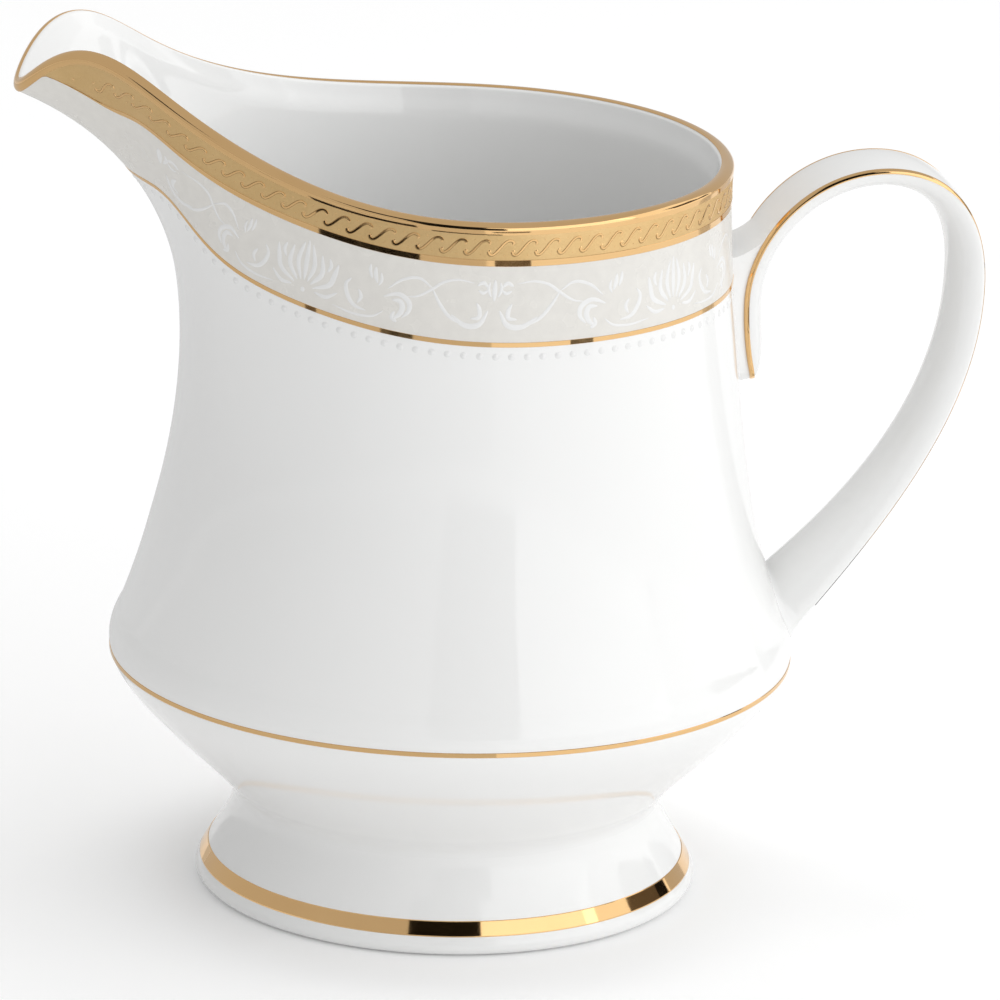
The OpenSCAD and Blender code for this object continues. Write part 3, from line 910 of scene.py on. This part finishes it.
def build_frieze_relief():
    track = Track(frieze_level, 2, ROOT_ANGLE, FLOWER_ANGLE)
    relief = Relief(base=0.01, section=Relief.ROUND, sharp=80)
    for hand in (1, -1):
        for block in (-2, -1, 0, 1):
            # Even blocks run from a flower to a palmette, odd ones the other way
            start = block * REPEAT

            def place(xy):
                x = start + (xy[..., 0] if block % 2 == 0 else REPEAT - xy[..., 0])
                x = np.where(x < 0, SPOUT_SIDE * x, x)
                u = track.angle(x)
                scale = (frieze_level(u) - rim_line_level(u)) / FRIEZE_W
                at, level = track.place(x, xy[..., 1] * scale * np.interp(u, track.u, track.square))
                return hand * at, level

            for knots, width in MIDDLE_STROKES + SIDE_STROKES + PALMETTE_STROKES:
                # A stroke on the line between two blocks is drawn once, by the even one
                shared = all(x in (0.0, REPEAT) for x, _ in knots)
                reach = np.abs(place(np.array(knots))[0])
                fits = reach.min() >= LEAF_FROM and reach.max() <= LEAF_TO
                if fits and not (shared and block % 2):
                    relief.stroke(knots, width, LEAF_RISE, place, count=16)
            # A ball sits under each palmette
            if block % 2 == 0:
                relief.dot((REPEAT, 1.7), 0.42, BALL_RISE, place)
    relief.build("frieze_relief", RELIEF, "pearl_enamel")


build_frieze_relief()


# ---- Beads ----
# The row ends at these angles, and each bead's rim lies this far inside the porcelain
BEAD_ROW_ANGLE, BEAD_SINK = 167, 0.02


def bead_level(u):
    return thin_line_level(u) + BEAD_LEVEL


def build_beads():
    probe = np.linspace(-BEAD_ROW_ANGLE, BEAD_ROW_ANGLE, 2401)
    _, run = walk(probe, bead_level)
    count = int(run[-1] // BEAD_PITCH)
    us = np.interp(np.linspace(0, run[-1], count + 1), run, probe)
    sides, tiers = 16, 5
    b = np.arange(sides) * 360 / sides
    points, faces = [], []
    for p, n in zip(*wall(us, bead_level(us))):
        across = unit(np.cross(n, UP))
        ring = BEAD_D / 2 * (cos(b)[:, None] * across + sin(b)[:, None] * np.cross(n, across))
        start = len(points)
        for k in range(tiers):
            share = 1 - k / tiers
            lift = BEAD_RISE * (1 - share ** 2) ** 1.5 - BEAD_SINK
            points.extend(p + share * ring + lift * n)
        points.append(p + (BEAD_RISE - BEAD_SINK) * n)
        top, crown = start + (tiers - 1) * sides, start + tiers * sides
        faces += grid_quads(tiers, sides, True, start)
        faces += [(top + j, top + (j + 1) % sides, crown) for j in range(sides)]
        faces.append(tuple(range(start + sides - 1, start - 1, -1)))
    mesh_piece("raised_beads", points, faces, RELIEF, "porcelain", ["bead_row"])


build_beads()


# ---- Gold lines of the belly, foot and handle ----
def ring_layer(name, low, high, shares, node):
    """A turned gold layer on the straight stretch of an outline from low to high."""
    low, high = np.asarray(low, float), np.asarray(high, float)
    outline = low + np.asarray(shares)[:, None] * (high - low)
    us = np.linspace(-180, 180, 361)[:-1]
    n = outline_normals(outline)
    front = turned(outline + layer_lifts(len(outline), GOLD_T)[:, None] * n, us)
    back = turned(outline - LAYER_SINK * n, us)
    points, faces = shell(back[::-1], front[::-1], True)
    mesh_piece(name, points, faces, POLISHED, "polished_gold", [node], sharp=BAND_SHARP)


ring_layer("belly_line", (BELLY_R, BELLY_Z - LINE_HALF), (BELLY_R, BELLY_Z + LINE_HALF),
           (0, 0.1, 0.35, 0.65, 0.9, 1), "belly_gold_line")
ring_layer("foot_band", BAND_LOW, BAND_HIGH, (0, 0.06, 0.5, 0.94, 1), "foot_gold_band")


def corner_rows(y, radius):
    """The strap's corner on one side as rows of points at a radius round its middle."""
    rows = []
    for s in strap_places():
        p, _, inward = path_frame(s)
        # From the crown on, the line narrows towards the outer face
        narrowing = smooth_step(min(share_past(s, 2.1, 2.9), 1))
        turn = np.linspace(-8 + 78 * narrowing, 98, 9)
        centre = p + (strap_half(s) - CORNER) * y + CORNER * inward
        rows.append(centre + radius * (cos(turn)[:, None] * y - sin(turn)[:, None] * inward))
    return np.array(rows).transpose(1, 0, 2)


def build_handle_lines():
    points, faces = [], []
    for y in (SIDEWAYS, -SIDEWAYS):
        front, back = corner_rows(y, CORNER + LINE_T), corner_rows(y, CORNER - LAYER_SINK)
        if y[1] > 0:
            front, back = front[::-1], back[::-1]
        line_points, line_faces = shell(back, front, False)
        faces += [tuple(len(points) + k for k in f) for f in line_faces]
        points.extend(line_points)
    mesh_piece("handle_lines", points, faces, POLISHED, "polished_gold", ["handle_gold_lines"],
               sharp=70)


build_handle_lines()

# ---- Stage: floor, camera and lights ----
FLOOR_SIZE, FLOOR_GLOW = 12.0, 0.07


def stage_object(name, data):
    ob = bpy.data.objects.new(name, data)
    bpy.context.scene.collection.objects.link(ob)
    return ob


def rectangle(name, size_x, size_y):
    me = bpy.data.meshes.new(name)
    x, y = size_x / 2, size_y / 2
    me.from_pydata([(-x, -y, 0), (x, -y, 0), (x, y, 0), (-x, y, 0)], [], [(0, 1, 2, 3)])
    return me


def stage_floor():
    ob = stage_object("floor", rectangle("floor", FLOOR_SIZE, FLOOR_SIZE))
    m = Nodes("floor_white")
    m.set(Base_Color=(0.93, 0.93, 0.93, 1.0), Roughness=0.9, Specular_IOR_Level=0.1,
          Emission_Color=(1.0, 1.0, 1.0, 1.0), Emission_Strength=FLOOR_GLOW)
    ob.data.materials.append(m.mat)


stage_floor()

# The camera looks at a point right of the jug's axis and above the floor, in millimetres
VIEW_AZIMUTH, VIEW_ELEVATION, VIEW_ROLL = -9.715, 17.324, 1.581
VIEW_DISTANCE = 1100.0
TARGET_RIGHT, TARGET_UP = 5.81, 49.86
LENS, SENSOR = 314.784, 36.0


def stage_camera():
    right = np.array([cos(VIEW_AZIMUTH), sin(VIEW_AZIMUTH), 0])
    level = cos(VIEW_ELEVATION)
    back = np.array([sin(VIEW_AZIMUTH) * level, -cos(VIEW_AZIMUTH) * level, sin(VIEW_ELEVATION)])
    up = np.cross(back, right)
    place = TARGET_RIGHT * right + np.array([0, 0, TARGET_UP]) + VIEW_DISTANCE * back
    x = cos(VIEW_ROLL) * right + sin(VIEW_ROLL) * up
    y = cos(VIEW_ROLL) * up - sin(VIEW_ROLL) * right
    cam = bpy.data.cameras.new("camera")
    cam.sensor_width, cam.lens = SENSOR, LENS
    cam.clip_end = 50
    ob = stage_object("camera", cam)
    ob.matrix_world = Matrix([(x[r], y[r], back[r], place[r] * MM) for r in range(3)]
                             + [(0, 0, 0, 1)])
    bpy.context.scene.camera = ob


stage_camera()

WORLD, KEY, SIDE, TOP = 0.59, 1.34, 0.66, 1.95
KEY_AZIMUTH, KEY_ELEVATION = 48, 18
# The panels and the hanging cards face this point inside the jug
MIDDLE = Vector((0, 0, 0.06))


def ray_from_jug(azimuth, elevation):
    """Direction from the jug, at an azimuth to the right of the main camera."""
    a = VIEW_AZIMUTH + azimuth
    return Vector((sin(a) * cos(elevation), -cos(a) * cos(elevation), sin(elevation)))


def panel(name, azimuth, elevation, distance, size_x, size_y, radiance, colour=(1, 1, 1)):
    """A soft panel that faces the jug. Its power follows from its size and radiance."""
    light = bpy.data.lights.new(name, "AREA")
    light.shape = "RECTANGLE"
    light.size, light.size_y = size_x, size_y
    light.energy = radiance * math.pi * size_x * size_y
    light.color = colour
    ob = stage_object(name, light)
    ob.location = MIDDLE + distance * ray_from_jug(azimuth, elevation)
    ob.rotation_euler = (MIDDLE - ob.location).to_track_quat("-Z", "Y").to_euler()
    ob.visible_camera = False
    return ob


def studio_world():
    world = bpy.data.worlds.new("studio")
    bpy.context.scene.world = world
    world.use_nodes = True
    background = world.node_tree.nodes["Background"]
    background.inputs["Color"].default_value = (1, 1, 1, 1)
    background.inputs["Strength"].default_value = WORLD


studio_world()
panel("key", KEY_AZIMUTH, KEY_ELEVATION, 1.6, 1.86, 1.7, KEY, (0.985, 0.993, 1.0))
panel("side", 103.5, 18, 1.6, 1.5, 1.7, SIDE)
panel("top", 180, 78, 1.3, 1.1, 0.9, TOP).visible_glossy = False


def card(name, me, tone):
    """A matt card that shows only as a reflection in the jug."""
    ob = stage_object(name, me)
    m = Nodes(name)
    m.set(Base_Color=tuple(tone) + (1.0,), Roughness=0.9, Specular_IOR_Level=0.0)
    me.materials.append(m.mat)
    ob.visible_camera = ob.visible_diffuse = ob.visible_shadow = False
    return ob


def hanging_card(name, azimuth, elevation, distance, size_x, size_y, tone):
    """A card that faces the jug. One in front of a soft panel dims what it hides of it."""
    ob = card(name, rectangle(name, size_x, size_y), tone)
    ob.location = MIDDLE + distance * ray_from_jug(azimuth, elevation)
    ob.rotation_euler = (MIDDLE - ob.location).to_track_quat("Z", "Y").to_euler()


def floor_card(name, azimuths, inner, outer, height, tone):
    """A card just over the floor, between two azimuths from the camera. Its inner and outer
    distances, in millimetres, each run evenly from the first azimuth to the second."""
    count = 24
    steps = np.linspace(*azimuths, count)
    points = [radius * MM * ray_from_jug(a, 0) + Vector((0, 0, height * MM))
              for ends in (inner, outer) for a, radius in zip(steps, np.linspace(*ends, count))]
    me = bpy.data.meshes.new(name)
    me.from_pydata(points, [], grid_quads(2, count, False))
    card(name, me, tone)


BLACK, BROWN = (0.01, 0.009, 0.008), (0.12, 0.10, 0.08)
SHADE, GREY = (0.25, 0.25, 0.25), (0.66, 0.66, 0.66)
floor_card("card_floor", (-170, 14), (75, 75), (900, 900), 0.2, GREY)
floor_card("card_rim", (-46, -10.5), (173, 206), (195, 236), 0.5, BLACK)
floor_card("card_lip", (-5.5, 20.5), (194, 209), (209, 224), 0.5, BLACK)
floor_card("card_rim_right", (17, 31), (250, 262), (270, 288), 0.5, BROWN)
floor_card("card_line", (-28, -16), (272, 310), (300, 335), 0.5, BLACK)
floor_card("card_line_left", (-56, -52), (208, 216), (232, 240), 0.5, BROWN)
floor_card("card_line_right", (46, 56), (430, 430), (480, 480), 0.5, BLACK)
# The key panel adds its light to what lies behind it, so a dim card hangs there
hanging_card("card_key", KEY_AZIMUTH, KEY_ELEVATION, 1.62, 1.88, 1.72, SHADE)
hanging_card("card_front", 9.5, 18, 1.5, 0.776, 1.09, BLACK)
hanging_card("card_high", 1.5, 47, 1.5, 0.78, 0.475, BLACK)
hanging_card("card_side", 110, 18.5, 1.5, 0.5, 0.5, BROWN)
hanging_card("card_side_end", 123, 12.5, 1.5, 0.18, 0.3, BLACK)
bpy.context.scene.view_settings.view_transform = "Standard"
